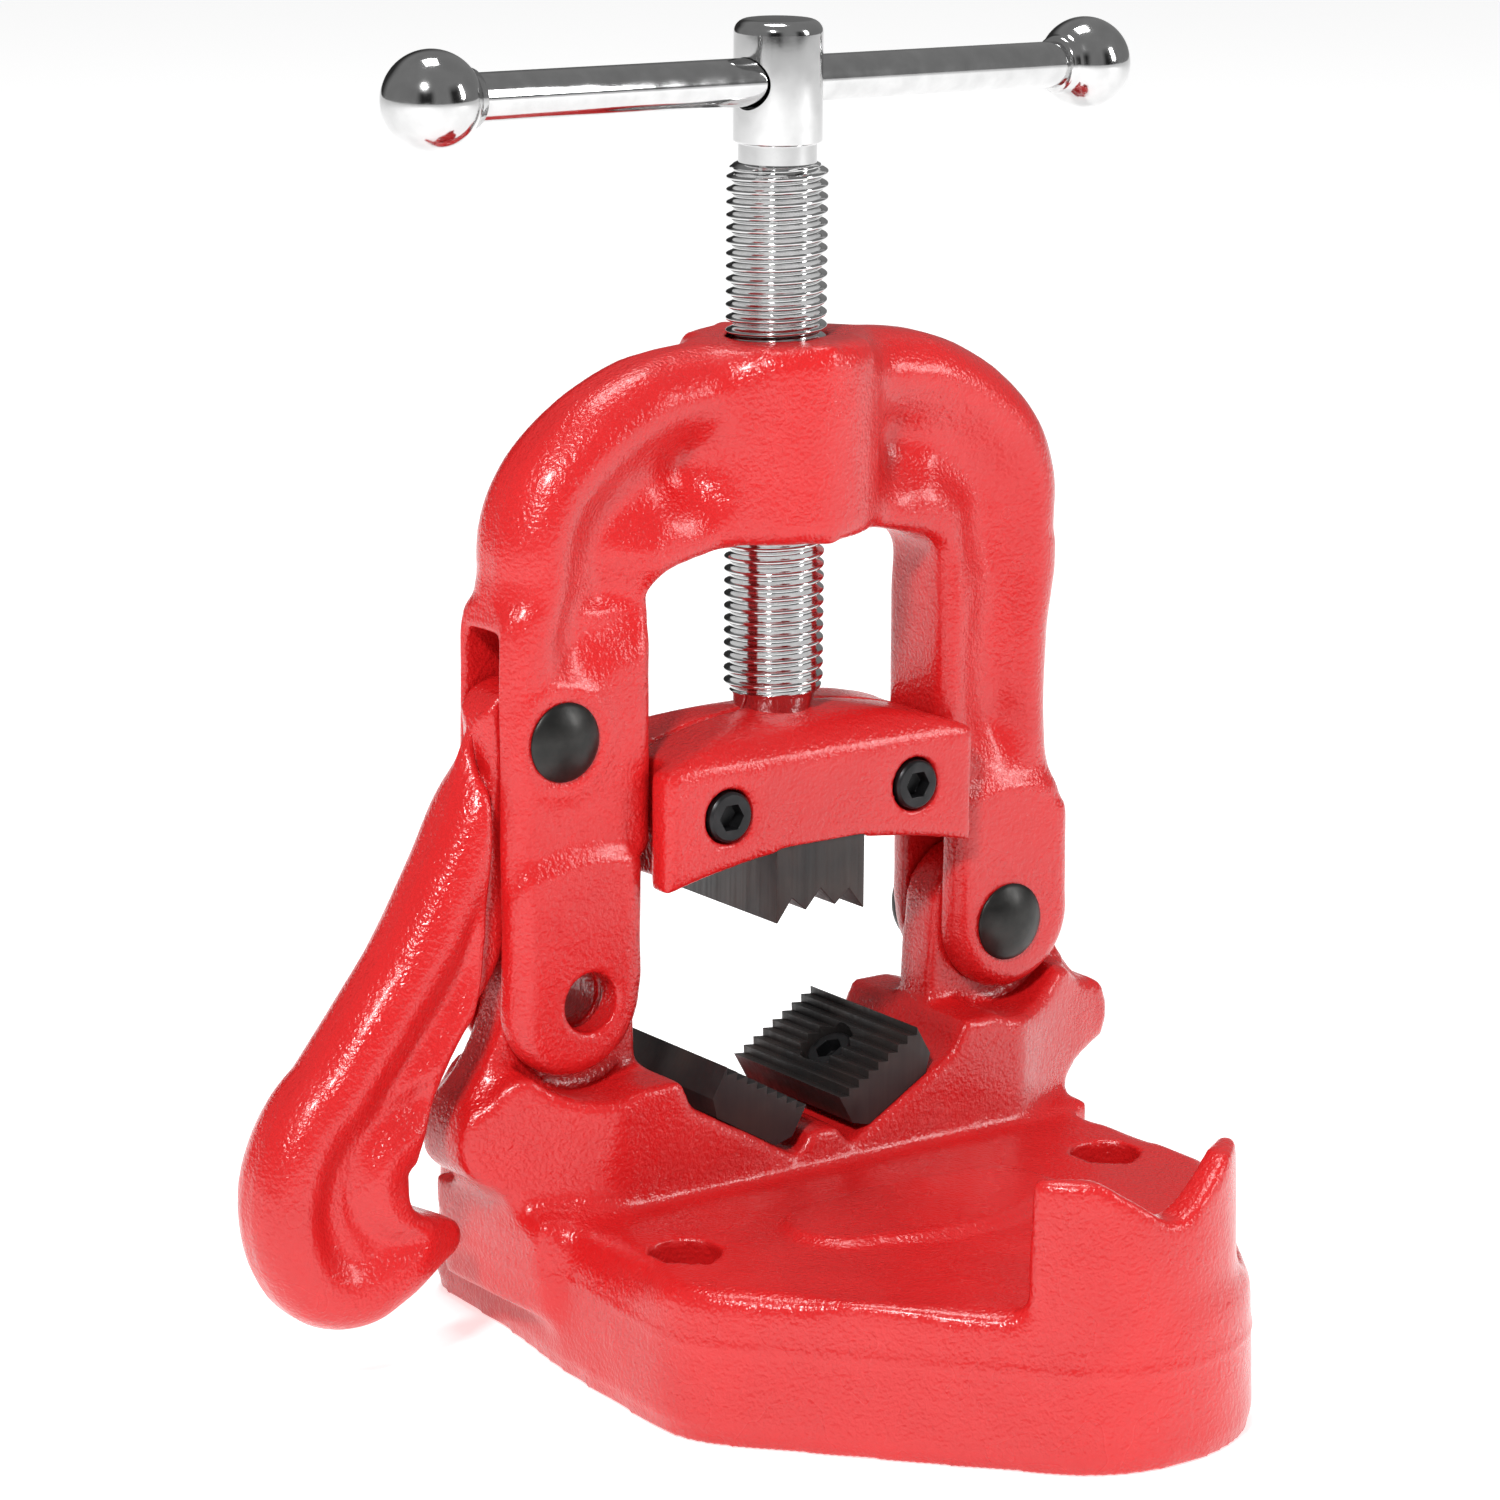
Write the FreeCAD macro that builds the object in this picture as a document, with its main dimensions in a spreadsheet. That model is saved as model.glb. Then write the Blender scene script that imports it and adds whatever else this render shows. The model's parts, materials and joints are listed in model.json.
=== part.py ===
"""Bench yoke pipe vise, as a parametric assembly of separate pieces.

Frame: +X towards the hinge side, +Y to the back, +Z up, lengths in millimetres.
The origin is on the bench, under the spindle.  The castings are nearly symmetric about X = 0.
What differs: the yoke's left leg is straight and has the latch slot, the base's left lug is
shorter, its left flank has a scoop under the hook, and its nose stands a little to the right.
"""
import FreeCAD, Part
import math
import os
import PartDesign
import Sketcher
from FreeCAD import Placement, Rotation, Vector

DIMENSIONS = {
    # base casting
    "shelf_height": 30.0,
    "foot_draft": -2.0,
    "foot_nose_shift": 5.0,
    "scoop_radius": 49.4,
    "scoop_lean": 32.42,
    "nose_shift": 3.0,
    "lug_end": 83.4,
    "latch_lug_end": 79.0,
    "lip_top": 56.4,
    "pad_rise": 1.5,
    "saddle_depth": 39.0,
    "tongue_thickness": 10.8,
    "core_depth": 20.5,
    "bench_hole_x": 52.0,
    "bench_hole_y": -44.1,
    "bench_hole_radius": 7.0,
    # yoke casting
    "leg_thickness": 20.6,
    "fork_thickness": 24.0,
    "fork_slot": 11.6,
    "boss_radius": 19.5,
    "yoke_top": 195.7,
    "arch_height": 157.8,
    # pins
    "pin_x": 51.6,
    "pin_height": 71.0,
    "hinge_pin_radius": 6.0,
    "latch_x": -57.0,
    "latch_height": 123.5,
    "latch_pin_radius": 5.0,
    "running_clearance": 0.05,
    "head_rise": 2.8,
    # latch hook
    "latch_web": 10.6,
    "latch_width": 18.0,
    "latch_swing": 0.0,
    # spindle
    "spindle_radius": 10.0,
    "neck_radius": 5.5,
    "collar_radius": 8.0,
    "collar_bottom": 108.8,
    "collar_top": 113.0,
    "thread_bottom": 124.1,
    "thread_top": 229.2,
    "head_bottom": 233.2,
    "head_top": 256.9,
    "head_radius": 8.7,
    # handle
    "bar_height": 245.0,
    "bar_radius": 4.68,
    "bar_span": 177.0,
    "bar_turn": 8.4,
    "bar_tilt": 1.84,
    "bar_spigot": 8.0,
    "ball_radius": 9.4,
    # jaw carrier
    "carrier_depth": 35.0,
    "carrier_split": 0.3,
    "carrier_half_width": 34.1,
    "flange_half_width": 37.8,
    "carrier_screw_x": 22.9,
    "carrier_screw_height": 105.2,
    "screw_radius": 3.0,
    "screw_head_radius": 5.0,
    "screw_head_height": 6.0,
    "hex_flat": 5.0,
    # jaws
    "upper_jaw_half_width": 10.8,
    "upper_jaw_depth": 33.0,
    "upper_jaw_tip": 81.5,
    "upper_jaw_top": 106.0,
    "washer_radius": 8.0,
    "washer_height": 2.5,
    "lower_jaw_depth": 36.0,
    "lower_jaw_face": 22.5,
    "lower_jaw_height": 10.0,
    "lower_jaw_slope": 30.0,
    "lower_jaw_x": 4.1,
    "lower_jaw_z": 43.4,
}

ALONG_Y = Rotation(Vector(1, 0, 0), -90)
ALONG_Z = Rotation()


def make_sheet(doc):
    """The spreadsheet of driving dimensions, one alias per row."""
    sheet = doc.addObject("Spreadsheet::Sheet", "Dimensions")
    for row, (alias, value) in enumerate(DIMENSIONS.items(), start=1):
        sheet.set(f"A{row}", alias)
        sheet.set(f"B{row}", str(value))
        sheet.setAlias(f"B{row}", alias)
    doc.recompute()
    return sheet


doc = FreeCAD.newDocument("yoke_pipe_vise")
sheet = make_sheet(doc)


def size(alias):
    """A driving dimension, as a plain number."""
    return float(sheet.get(alias))


# ---------------------------------------------------------------- modelling helpers

def new_body(label):
    body = doc.addObject("PartDesign::Body", label)
    body.Label = label
    return body


def line(x, y):
    return ("line", (x, y))


def arc(mid_x, mid_y, x, y):
    return ("arc", (mid_x, mid_y), (x, y))


def add_chain(sketch, start, steps):
    """Add one closed outline of lines and three-point arcs to a sketch."""
    def point(pair):
        return Vector(pair[0], pair[1], 0)

    edges = []
    here = start
    for step in steps + [("line", start)]:
        there = step[-1]
        if math.dist(here, there) < 1e-6:
            continue
        if step[0] == "line":
            edges.append(Part.LineSegment(point(here), point(there)))
        else:
            edges.append(Part.Arc(point(here), point(step[1]), point(there)))
        here = there
    sketch.addGeometry(edges, False)


def mirrored_steps(start, steps):
    """Complete a half outline that starts and ends on the axis x = 0."""
    points = [start] + [step[-1] for step in steps]
    mirrored = []
    for index in range(len(steps) - 1, -1, -1):
        step = steps[index]
        x, y = points[index]
        if step[0] == "line":
            mirrored.append(line(-x, y))
        else:
            mid_x, mid_y = step[1]
            mirrored.append(arc(-mid_x, mid_y, -x, y))
    return steps + mirrored


def shifted(steps, dx, dy, angle=0.0, flip=1):
    """Rotate the steps about (0, 0), flip them in x, and move them."""
    cos, sin = math.cos(math.radians(angle)), math.sin(math.radians(angle))

    def move(pair):
        x, y = pair
        return (flip * (x * cos - y * sin) + dx, x * sin + y * cos + dy)

    return [(step[0],) + tuple(move(pair) for pair in step[1:]) for step in steps]


def new_sketch(body, name, role, offset=0.0):
    """A sketch on one of the body's own origin planes, offset along the plane's normal."""
    plane = next(item for item in body.Origin.OriginFeatures if item.Role == role)
    sketch = body.newObject("Sketcher::SketchObject", name)
    sketch.AttachmentSupport = [(plane, "")]
    sketch.MapMode = "FlatFace"
    sketch.AttachmentOffset = Placement(Vector(0, 0, offset), Rotation())
    return sketch


def outline(body, name, role, start, steps, offset=0.0):
    sketch = new_sketch(body, name, role, offset)
    add_chain(sketch, start, steps)
    return sketch


def extrude(body, kind, sketch, length, symmetric=False, reverse=False, taper=None):
    """A Pad or Pocket whose length is an expression of the sheet."""
    feature = body.newObject(f"PartDesign::{kind}", f"{sketch.Name}_{kind}")
    feature.Profile = sketch
    feature.setExpression("Length", length)
    if symmetric:
        feature.SideType = "Symmetric"
    feature.Reversed = reverse
    if taper:
        feature.setExpression("TaperAngle", taper)
    sketch.Visibility = False
    before = body.Shape.Volume if body.Shape and not body.Shape.isNull() else 0.0
    doc.recompute()
    change = body.Shape.Volume - before
    if (change <= 0) if kind == "Pad" else (change >= 0):
        raise ValueError(f"{feature.Name} changes nothing")
    return feature


def cylinder(body, kind, name, radius, height, position, rotation=ALONG_Z):
    """An additive or subtractive cylinder, its foot at position, along the rotated Z axis."""
    feature = body.newObject(f"PartDesign::{kind}Cylinder", name)
    feature.setExpression("Radius", radius)
    feature.setExpression("Height", height)
    feature.Placement = Placement(position, rotation)
    doc.recompute()
    return feature


def revolve(body, name, start, steps):
    """Turn a profile of (radius, height) points about the Z axis."""
    sketch = outline(body, name, "XZ_Plane", start, steps)
    feature = body.newObject("PartDesign::Revolution", f"{name}_turned")
    feature.Profile = sketch
    feature.ReferenceAxis = (sketch, ["V_Axis"])
    feature.Angle = 360
    doc.recompute()
    return feature


# ---------------------------------------------------------------- base casting

def foot_outline():
    """Plan of the foot, from the middle of the nose round to the back and home again."""
    nose = size("foot_nose_shift")
    side = [
        line(60, -70),
        arc(65.5, -61.5, 66.5, -52),
        line(64.5, -20),
        line(60, 5),
        line(58, 32),
        arc(55.5, 38.5, 49, 41),
        line(0, 41),
    ]
    start = (nose, -125.5)
    right = [arc(nose + 15.5, -122, nose + 28, -111)] + side
    left = mirrored_steps((28 - nose, -111), side)[len(side):]
    return start, right + left + [arc(nose - 15.5, -122, *start)]


def saddle_side(lug_end):
    """Half front view of the saddle: lug, cradle for the leg, and seat for the lower jaw."""
    pin_x, pin_z = size("pin_x"), size("pin_height")
    cradle = 18.6
    outer_z, inner_z = 58.8, 54.0
    seat, along, out = jaw_frame(1)
    half, height = size("lower_jaw_face") / 2, size("lower_jaw_height")
    upper = seat + along * (half + 1.5) - out * height
    lower = seat - along * (half + 1.5) - out * height
    outer_x = pin_x + math.sqrt(cradle**2 - (pin_z - outer_z) ** 2)
    inner_x = pin_x - math.sqrt(cradle**2 - (pin_z - inner_z) ** 2)
    return [
        line(66.5, 10),
        line(68.4, 27.5),
        arc(70.3, 34, 75, 37.2),
        line(lug_end - 1.4, 39.6),
        arc(lug_end, 44, lug_end - 0.8, 49.5),
        arc(lug_end - 2.2, 52, lug_end - 4.4, 53),
        arc(72.6, 54.6, 69.6, 57.8),
        line(outer_x, outer_z),
        arc(pin_x, pin_z - cradle, inner_x, inner_z),
        line(35.2, inner_z),
        line(34.4, 52.4),
        line(upper.x + 2.4, upper.z + 1.2),
        line(upper.x, upper.z),
        line(lower.x, lower.z),
        line(lower.x - 2, lower.z),
        line(3.4, lower.z + 4),
        line(0, lower.z + 4),
    ]


def saddle_outline():
    """The saddle's front view; the lug under the latch's hook is the shorter one."""
    start = (0, 10)
    right = saddle_side(size("lug_end"))
    whole = mirrored_steps(start, saddle_side(size("latch_lug_end")))
    return start, right + whole[len(right):]


def tongue_steps():
    """One tongue, which stands between the two prongs of a yoke leg."""
    pin_x, pin_z = size("pin_x"), size("pin_height")
    reach = 15.2
    slant = reach * math.sqrt(0.5)
    start = (36.2, 46)
    return start, [
        line(76, 46),
        line(77, 53),
        arc(71.2, 60.5, pin_x + reach, pin_z + 1),
        arc(pin_x + slant, pin_z + slant, pin_x, pin_z + reach),
        arc(42, 82.8, 37.6, 75.5),
        line(36.2, 60),
    ]


def make_base():
    body = new_body("base_casting")
    start, steps = foot_outline()
    foot = outline(body, "foot", "XY_Plane", start, steps)
    extrude(body, "Pad", foot, "Dimensions.shelf_height", taper="Dimensions.foot_draft")
    make_scoop(body)

    start, steps = saddle_outline()
    saddle = outline(body, "saddle", "XZ_Plane", start, steps)
    extrude(body, "Pad", saddle, "Dimensions.saddle_depth", symmetric=True)

    shelf = size("shelf_height")
    taper = new_sketch(body, "lug_taper", "XY_Plane", shelf + 1.5)
    for side in (-1, 1):
        for face in (-1, 1):
            corner = [line(88, face * 25), line(88, face * 7.6), line(80, face * 7.6),
                      arc(66, face * 12.2, 50, face * 19.6)]
            add_chain(taper, (side * 50, face * 25), shifted(corner, 0, 0, flip=side))
    extrude(body, "Pocket", taper, "Dimensions.yoke_top", reverse=True)

    for side, name in ((-1, "left_tongue"), (1, "right_tongue")):
        start, steps = tongue_steps()
        sketch = outline(body, name, "XZ_Plane", (side * start[0], start[1]),
                         shifted(steps, 0, 0, flip=side))
        extrude(body, "Pad", sketch, "Dimensions.tongue_thickness", symmetric=True)

    make_pipe_rest(body)
    make_base_holes(body)
    return body


def make_scoop(body):
    """The hollow in the left flank under the hook, cut by a leaning cylinder."""
    turn = Rotation(Vector(0, 1, 0), size("scoop_lean"))
    middle, half_length = Vector(-69.0, -34, 107.2), 80
    foot = middle - turn.multVec(Vector(0, 0, half_length))
    cylinder(body, "Subtractive", "latch_side_scoop", "Dimensions.scoop_radius",
             f"{2 * half_length}", foot, turn)


def make_pipe_rest(body):
    """The curved lip at the nose with its V notch, and the raised pad behind it."""
    shelf = size("shelf_height")
    nose = size("nose_shift")
    lip = outline(body, "lip", "XY_Plane", (nose - 24.5, -112), [
        arc(nose, -124.4, nose + 24.5, -112),
        arc(nose + 24.6, -108.8, nose + 21, -107.6),
        arc(nose, -115.2, nose - 21, -107.6),
        arc(nose - 24.6, -108.8, nose - 24.5, -112),
    ], shelf - 2)
    extrude(body, "Pad", lip, "Dimensions.lip_top - Dimensions.shelf_height + 2",
            taper="Dimensions.foot_draft")
    notch_depth, notch_half, floor_half = 9.2, 15.5, 1.5
    top = size("lip_top")
    notch = outline(body, "notch", "XZ_Plane", (nose - floor_half, top - notch_depth), [
        line(nose + floor_half, top - notch_depth),
        line(nose + notch_half, top + 0.5),
        line(nose - notch_half, top + 0.5),
    ], 95)
    extrude(body, "Pocket", notch, "40", reverse=True)
    pad = outline(body, "pad", "XY_Plane", (-20, -39), [
        arc(-30.5, -50, -20, -62),
        arc(0, -67, 20, -62),
        arc(30.5, -50, 20, -39),
        arc(0, -37, -20, -39),
    ], shelf - 1)
    extrude(body, "Pad", pad, "Dimensions.pad_rise + 1")


def make_base_holes(body):
    """Bench holes, hinge bores in both tongues, jaw screw holes and the cored underside."""
    for side, word in ((-1, "left"), (1, "right")):
        cylinder(body, "Subtractive", f"bench_hole_{word}", "Dimensions.bench_hole_radius",
                 "Dimensions.shelf_height + 20",
                 Vector(side * size("bench_hole_x"), size("bench_hole_y"), -5))
        cylinder(body, "Subtractive", f"hinge_bore_{word}",
                 "Dimensions.hinge_pin_radius + Dimensions.running_clearance", "60",
                 Vector(side * size("pin_x"), -30, size("pin_height")), ALONG_Y)
        cylinder(body, "Subtractive", f"jaw_screw_hole_{word}",
                 "Dimensions.screw_radius + Dimensions.running_clearance", "30",
                 jaw_point(side, -21.5), jaw_axis(side))
        core = [(5, -108), (20, -101), (37, -76), (39, -34), (54, -24), (51, 30), (5, 30)]
        points = [(side * x, y) for x, y in core]
        sketch = outline(body, f"core_{word}", "XY_Plane", points[0],
                         [line(*point) for point in points[1:]])
        extrude(body, "Pocket", sketch, "Dimensions.core_depth", reverse=True)


# ---------------------------------------------------------------- lower jaws

def jaw_frame(side):
    """The face centre of a lower jaw, and the unit vectors along and out of its face."""
    slope = math.radians(size("lower_jaw_slope"))
    along = Vector(side * math.cos(slope), 0, math.sin(slope))
    out = Vector(-side * math.sin(slope), 0, math.cos(slope))
    inner = Vector(side * size("lower_jaw_x"), 0, size("lower_jaw_z"))
    return inner + along * (size("lower_jaw_face") / 2), along, out


def jaw_point(side, depth):
    """A point on the screw's axis, at a height above the toothed face."""
    centre, _, out = jaw_frame(side)
    return centre + out * depth


def jaw_axis(side):
    """The turn that brings +Z onto the outward normal of a lower jaw's face."""
    _, _, out = jaw_frame(side)
    return Rotation(Vector(0, 0, 1), out)


def make_lower_jaw(side, word):
    """A toothed block, bolted on the slope of the saddle through a counterbored hole."""
    body = new_body(f"lower_jaw_{word}")
    centre, along, out = jaw_frame(side)
    half, height = size("lower_jaw_face") / 2, size("lower_jaw_height") - 0.05
    teeth, tooth_depth, chamfer = 8, 1.5, 3.0
    pitch = 2 * half / teeth

    def place(u, w):
        spot = centre + along * u + out * w
        return (spot.x, spot.z)

    points = [(-half, 0)]
    for tooth in range(teeth):
        left = -half + tooth * pitch
        points.append((left + pitch * 0.72, -tooth_depth))
        points.append((left + pitch, 0))
    points += [(half, -height + chamfer), (half - chamfer, -height)]
    points += [(-half + chamfer, -height), (-half, -height + chamfer)]
    spots = [place(u, w) for u, w in points]
    sketch = outline(body, f"section_{word}", "XZ_Plane", spots[0], [line(*s) for s in spots[1:]])
    extrude(body, "Pad", sketch, "Dimensions.lower_jaw_depth", symmetric=True)
    cylinder(body, "Subtractive", f"screw_hole_{word}", "Dimensions.screw_radius + 0.3",
             "30", jaw_point(side, -25), jaw_axis(side))
    cylinder(body, "Subtractive", f"counterbore_{word}", "Dimensions.screw_head_radius + 0.7",
             "20", jaw_point(side, -8.0), jaw_axis(side))
    return body


# ---------------------------------------------------------------- screws and pins

def make_socket_screw(label, length, position, rotation):
    """A socket head cap screw: head foot at position, shank pointing down the rotated axis."""
    body = new_body(label)
    shank, head = size("screw_radius"), size("screw_head_radius")
    rise = size("screw_head_height")
    revolve(body, f"{label}_profile", (0, -length), [
        line(shank - 0.5, -length),
        line(shank, -length + 0.5),
        line(shank, 0),
        line(head, 0),
        line(head, rise - 0.5),
        line(head - 0.5, rise),
        line(0, rise),
    ])
    corner = size("hex_flat") / math.sqrt(3)
    angles = [math.radians(60 * turn) for turn in range(6)]
    hexagon = [(corner * math.cos(a), corner * math.sin(a)) for a in angles]
    socket = outline(body, f"{label}_socket", "XY_Plane", hexagon[0],
                     [line(*point) for point in hexagon[1:]], rise + 1)
    extrude(body, "Pocket", socket, "4")
    body.Placement = Placement(position, rotation)
    return body


def cap_middle(radius, rise, foot):
    """The point half way along a spherical cap's profile, whose top is on the axis."""
    sphere = (radius**2 + rise**2) / (2 * rise)
    half_angle = math.asin(radius / sphere) / 2
    return sphere * math.sin(half_angle), foot + rise - sphere * (1 - math.cos(half_angle))


def make_pin(label, radius, head_radius, grip, position):
    """A headed pin along Y: domed head at the front, peened tail at the back."""
    body = new_body(label)
    rise, rim = size("head_rise") - 0.6, 0.6
    front, back = grip / 2, grip / 2 + 4.2
    crown = cap_middle(head_radius, rise, front + rim)
    tail = cap_middle(radius * 0.9, 0.8, back - 0.8)
    revolve(body, f"{label}_profile", (0, -back), [
        arc(tail[0], -tail[1], radius * 0.9, -back + 0.8),
        line(radius, -back + 1.6),
        line(radius, front),
        line(head_radius, front),
        line(head_radius, front + rim),
        arc(*crown, 0, front + rim + rise),
    ])
    body.Placement = Placement(position, Rotation(Vector(1, 0, 0), 90))
    return body


def make_pin_washer(label, radius, grip, position):
    """The washer between the casting and the peened tail of a pin."""
    outer = doc.addObject("Part::Cylinder", f"{label}_disc")
    inner = doc.addObject("Part::Cylinder", f"{label}_hole")
    outer.Radius, outer.Height = radius * 1.75, 1.8
    inner.Radius, inner.Height = radius + size("running_clearance"), 4
    inner.Placement = Placement(Vector(0, 0, -1), Rotation())
    ring = doc.addObject("Part::Cut", label)
    ring.Base, ring.Tool = outer, inner
    ring.Label = label
    back = Vector(0, grip / 2 + 0.02, 0)
    ring.Placement = Placement(position + back, ALONG_Y)
    return ring


# ---------------------------------------------------------------- yoke casting

def leg_end():
    """Outer side and rounded lower end of the right leg, going down and back up inside."""
    return [
        line(69.0, 92),
        line(69.2, 74),
        arc(53.8, 55.9, 38.4, 72),
    ]


def yoke_outline():
    """Front view of the yoke: the right leg is waisted, the slotted left leg is straight."""
    top, arch = size("yoke_top"), size("arch_height")
    shoulder = [
        line(20, top - 0.3),
        arc(45.0, 189.2, 59.7, 178),
        arc(65.4, 168.4, 67.2, 155),
    ]
    waist = [line(66.8, 142), arc(64.8, 122, 65.6, 104)]
    straight = [line(69.2, 144), line(69.4, 104)]
    inside = [
        line(38.4, 97),
        line(35.4, 100),
        line(35.4, 146.5),
        arc(33.9, 151.2, 29.9, 153.6),
        arc(15, arch - 1.1, 0, arch),
    ]
    start = (0, top)
    right = shoulder + waist + leg_end() + inside
    whole = mirrored_steps(start, shoulder + straight + leg_end() + inside)
    return start, right + whole[len(whole) // 2:]


def make_yoke():
    body = new_body("yoke_casting")
    start, steps = yoke_outline()
    frame = outline(body, "yoke_frame", "XZ_Plane", start, steps)
    extrude(body, "Pad", frame, "Dimensions.leg_thickness", symmetric=True)
    for side, word in ((-1, "left"), (1, "right")):
        fork = [line(66, 99)] + leg_end() + [line(38.4, 97)]
        sketch = outline(body, f"fork_{word}", "XZ_Plane", (side * 40.5, 99),
                         shifted(fork, 0, 0, flip=side))
        extrude(body, "Pad", sketch, "Dimensions.fork_thickness", symmetric=True)
    cylinder(body, "Additive", "boss", "Dimensions.boss_radius",
             "Dimensions.yoke_top - Dimensions.arch_height + 1",
             Vector(0, 0, size("arch_height") - 1))
    for side, word in ((-1, "left"), (1, "right")):
        slot = [line(80, 40), line(80, 97.5), line(66, 97.5), arc(52, 100.5, 30, 94)]
        sketch = outline(body, f"fork_slot_{word}", "XZ_Plane", (side * 30, 40),
                         shifted(slot, 0, 0, flip=side))
        extrude(body, "Pocket", sketch, "Dimensions.fork_slot", symmetric=True)
        cylinder(body, "Subtractive", f"fork_bore_{word}",
                 "Dimensions.hinge_pin_radius + Dimensions.running_clearance", "60",
                 Vector(side * size("pin_x"), -30, size("pin_height")), ALONG_Y)
    make_latch_slot(body)
    cylinder(body, "Subtractive", "spindle_bore",
             "Dimensions.spindle_radius + Dimensions.running_clearance", "60",
             Vector(0, 0, size("arch_height") - 10))
    return body


def make_latch_slot(body):
    """The slot in the outer side of the left leg, and the bore of the latch pin."""
    sketch = outline(body, "latch_slot", "XZ_Plane", (-80, 90), [
        line(-80, 144.7),
        line(-60, 144.7),
        arc(-49, 139, -45.4, 127),
        line(-45.4, 90),
    ])
    extrude(body, "Pocket", sketch, "Dimensions.fork_slot", symmetric=True)
    cylinder(body, "Subtractive", "latch_bore",
             "Dimensions.latch_pin_radius + Dimensions.running_clearance", "60",
             Vector(size("latch_x"), -30, size("latch_height")), ALONG_Y)


# ---------------------------------------------------------------- latch hook

def make_latch():
    """A hook that hangs from the latch pin: a thin eye and arm, and a broad bow and finger."""
    body = new_body("latch_hook")
    bow = [
        arc(-24.9, -19, -36.4, -38.5),
        line(-52.5, -58.8),
        arc(-65.4, -82, -60.5, -102.6),
        arc(-49.6, -110.6, -38, -110.6),
        line(-20.2, -101.6),
        arc(-18.2, -98.2, -19.8, -94.6),
        line(-30.2, -90.0),
        arc(-33.2, -86.4, -31.4, -81.5),
        arc(-25.4, -63, -18.4, -52.6),
    ]
    hang = (size("latch_x"), size("latch_height"), -size("latch_swing"))

    def on_hook(name, start, steps):
        first = shifted([line(*start)], *hang)[0][-1]
        return outline(body, name, "XZ_Plane", first, shifted(steps, *hang))

    arm = bow + [
        arc(-11.5, -43.5, -8, -33),
        line(8.2, -6.6),
        arc(10.5, 0, 7.4, 7.4),
        arc(0, 10.5, -6, 11.2),
        arc(-11.6, 9, -15.0, 2.6),
    ]
    extrude(body, "Pad", on_hook("arm", (-15.0, 2.6), arm), "Dimensions.latch_web",
            symmetric=True)
    broad = bow + [line(-16.6, -47), line(-14.6, -25), line(-13.6, -6)]
    extrude(body, "Pad", on_hook("broad", (-15.0, 2.6), broad), "Dimensions.latch_width",
            symmetric=True)
    cylinder(body, "Subtractive", "eye",
             "Dimensions.latch_pin_radius + Dimensions.running_clearance", "60",
             Vector(size("latch_x"), -30, size("latch_height")), ALONG_Y)
    return body


# ---------------------------------------------------------------- jaw carrier and upper jaw

def make_carrier_half(face, word):
    """One half of the carrier: face is -1 at the front and +1 at the back."""
    body = new_body(f"jaw_carrier_{word}")
    wide, block = size("flange_half_width"), size("carrier_half_width")
    depth, gap = size("carrier_depth") / 2, size("carrier_split") / 2
    rail = size("leg_thickness") / 2 + 0.4
    start = (0, 96.2)
    arch = [arc(19, 94.8, wide, 91), line(wide, 115), arc(19, 120.3, 0, 122)]
    plate = outline(body, f"arch_{word}", "XZ_Plane", start, mirrored_steps(start, arch),
                    -face * gap)
    extrude(body, "Pad", plate, "Dimensions.carrier_depth / 2 - Dimensions.carrier_split / 2",
            reverse=face > 0)
    crown = outline(body, f"crown_{word}", "YZ_Plane", (face * (depth + 1), 114.6), [
        line(face * depth, 114.6),
        arc(face * 13.5, 118.8, face * 7, 121.2),
        line(face * gap, 122.1),
        line(0, 130),
        line(face * (depth + 1), 130),
    ])
    extrude(body, "Pocket", crown, "100", symmetric=True)
    rails = new_sketch(body, f"rails_{word}", "XY_Plane", 80)
    for side in (-1, 1):
        points = [(side * block, 0), (side * 45, 0), (side * 45, face * rail),
                  (side * block, face * rail)]
        add_chain(rails, points[0], [line(*point) for point in points[1:]])
    extrude(body, "Pocket", rails, "60", reverse=True)
    make_carrier_cavity(body, face, word)
    return body


def make_carrier_cavity(body, face, word):
    """The neck bore, collar chamber, jaw pocket and screw holes of one carrier half."""
    clearance = size("running_clearance")
    low, high = size("collar_bottom"), size("collar_top")
    cylinder(body, "Subtractive", f"neck_bore_{word}", "Dimensions.neck_radius + 0.1", "30",
             Vector(0, 0, low))
    cylinder(body, "Subtractive", f"collar_chamber_{word}", "Dimensions.collar_radius + 0.1",
             f"{high - low + 3 + clearance}", Vector(0, 0, low - 3))
    half, top = size("upper_jaw_half_width"), size("upper_jaw_top")
    deep = size("upper_jaw_depth") / 2
    pocket = outline(body, f"jaw_pocket_{word}", "XZ_Plane", (-half - clearance, 80), [
        line(half + clearance, 80),
        line(half + clearance, 99.95),
        line(half + 2.8, 99.95),
        line(half + 2.8, top + clearance),
        line(-half - 2.8, top + clearance),
        line(-half - 2.8, 99.95),
        line(-half - clearance, 99.95),
    ])
    extrude(body, "Pocket", pocket, f"{2 * deep + 0.2}", symmetric=True)
    for side, hand in ((-1, "left"), (1, "right")):
        spot = Vector(side * size("carrier_screw_x"), -30, size("carrier_screw_height"))
        reach = "60" if face < 0 else f"{30 + size('carrier_depth') / 2 - 3}"
        cylinder(body, "Subtractive", f"screw_hole_{hand}_{word}",
                 "Dimensions.screw_radius + Dimensions.running_clearance", reach, spot, ALONG_Y)
        if face < 0:
            cylinder(body, "Subtractive", f"screw_recess_{hand}",
                     "Dimensions.screw_head_radius + 0.6",
                     f"{30 - size('carrier_depth') / 2 + 5.5}", spot, ALONG_Y)


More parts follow.
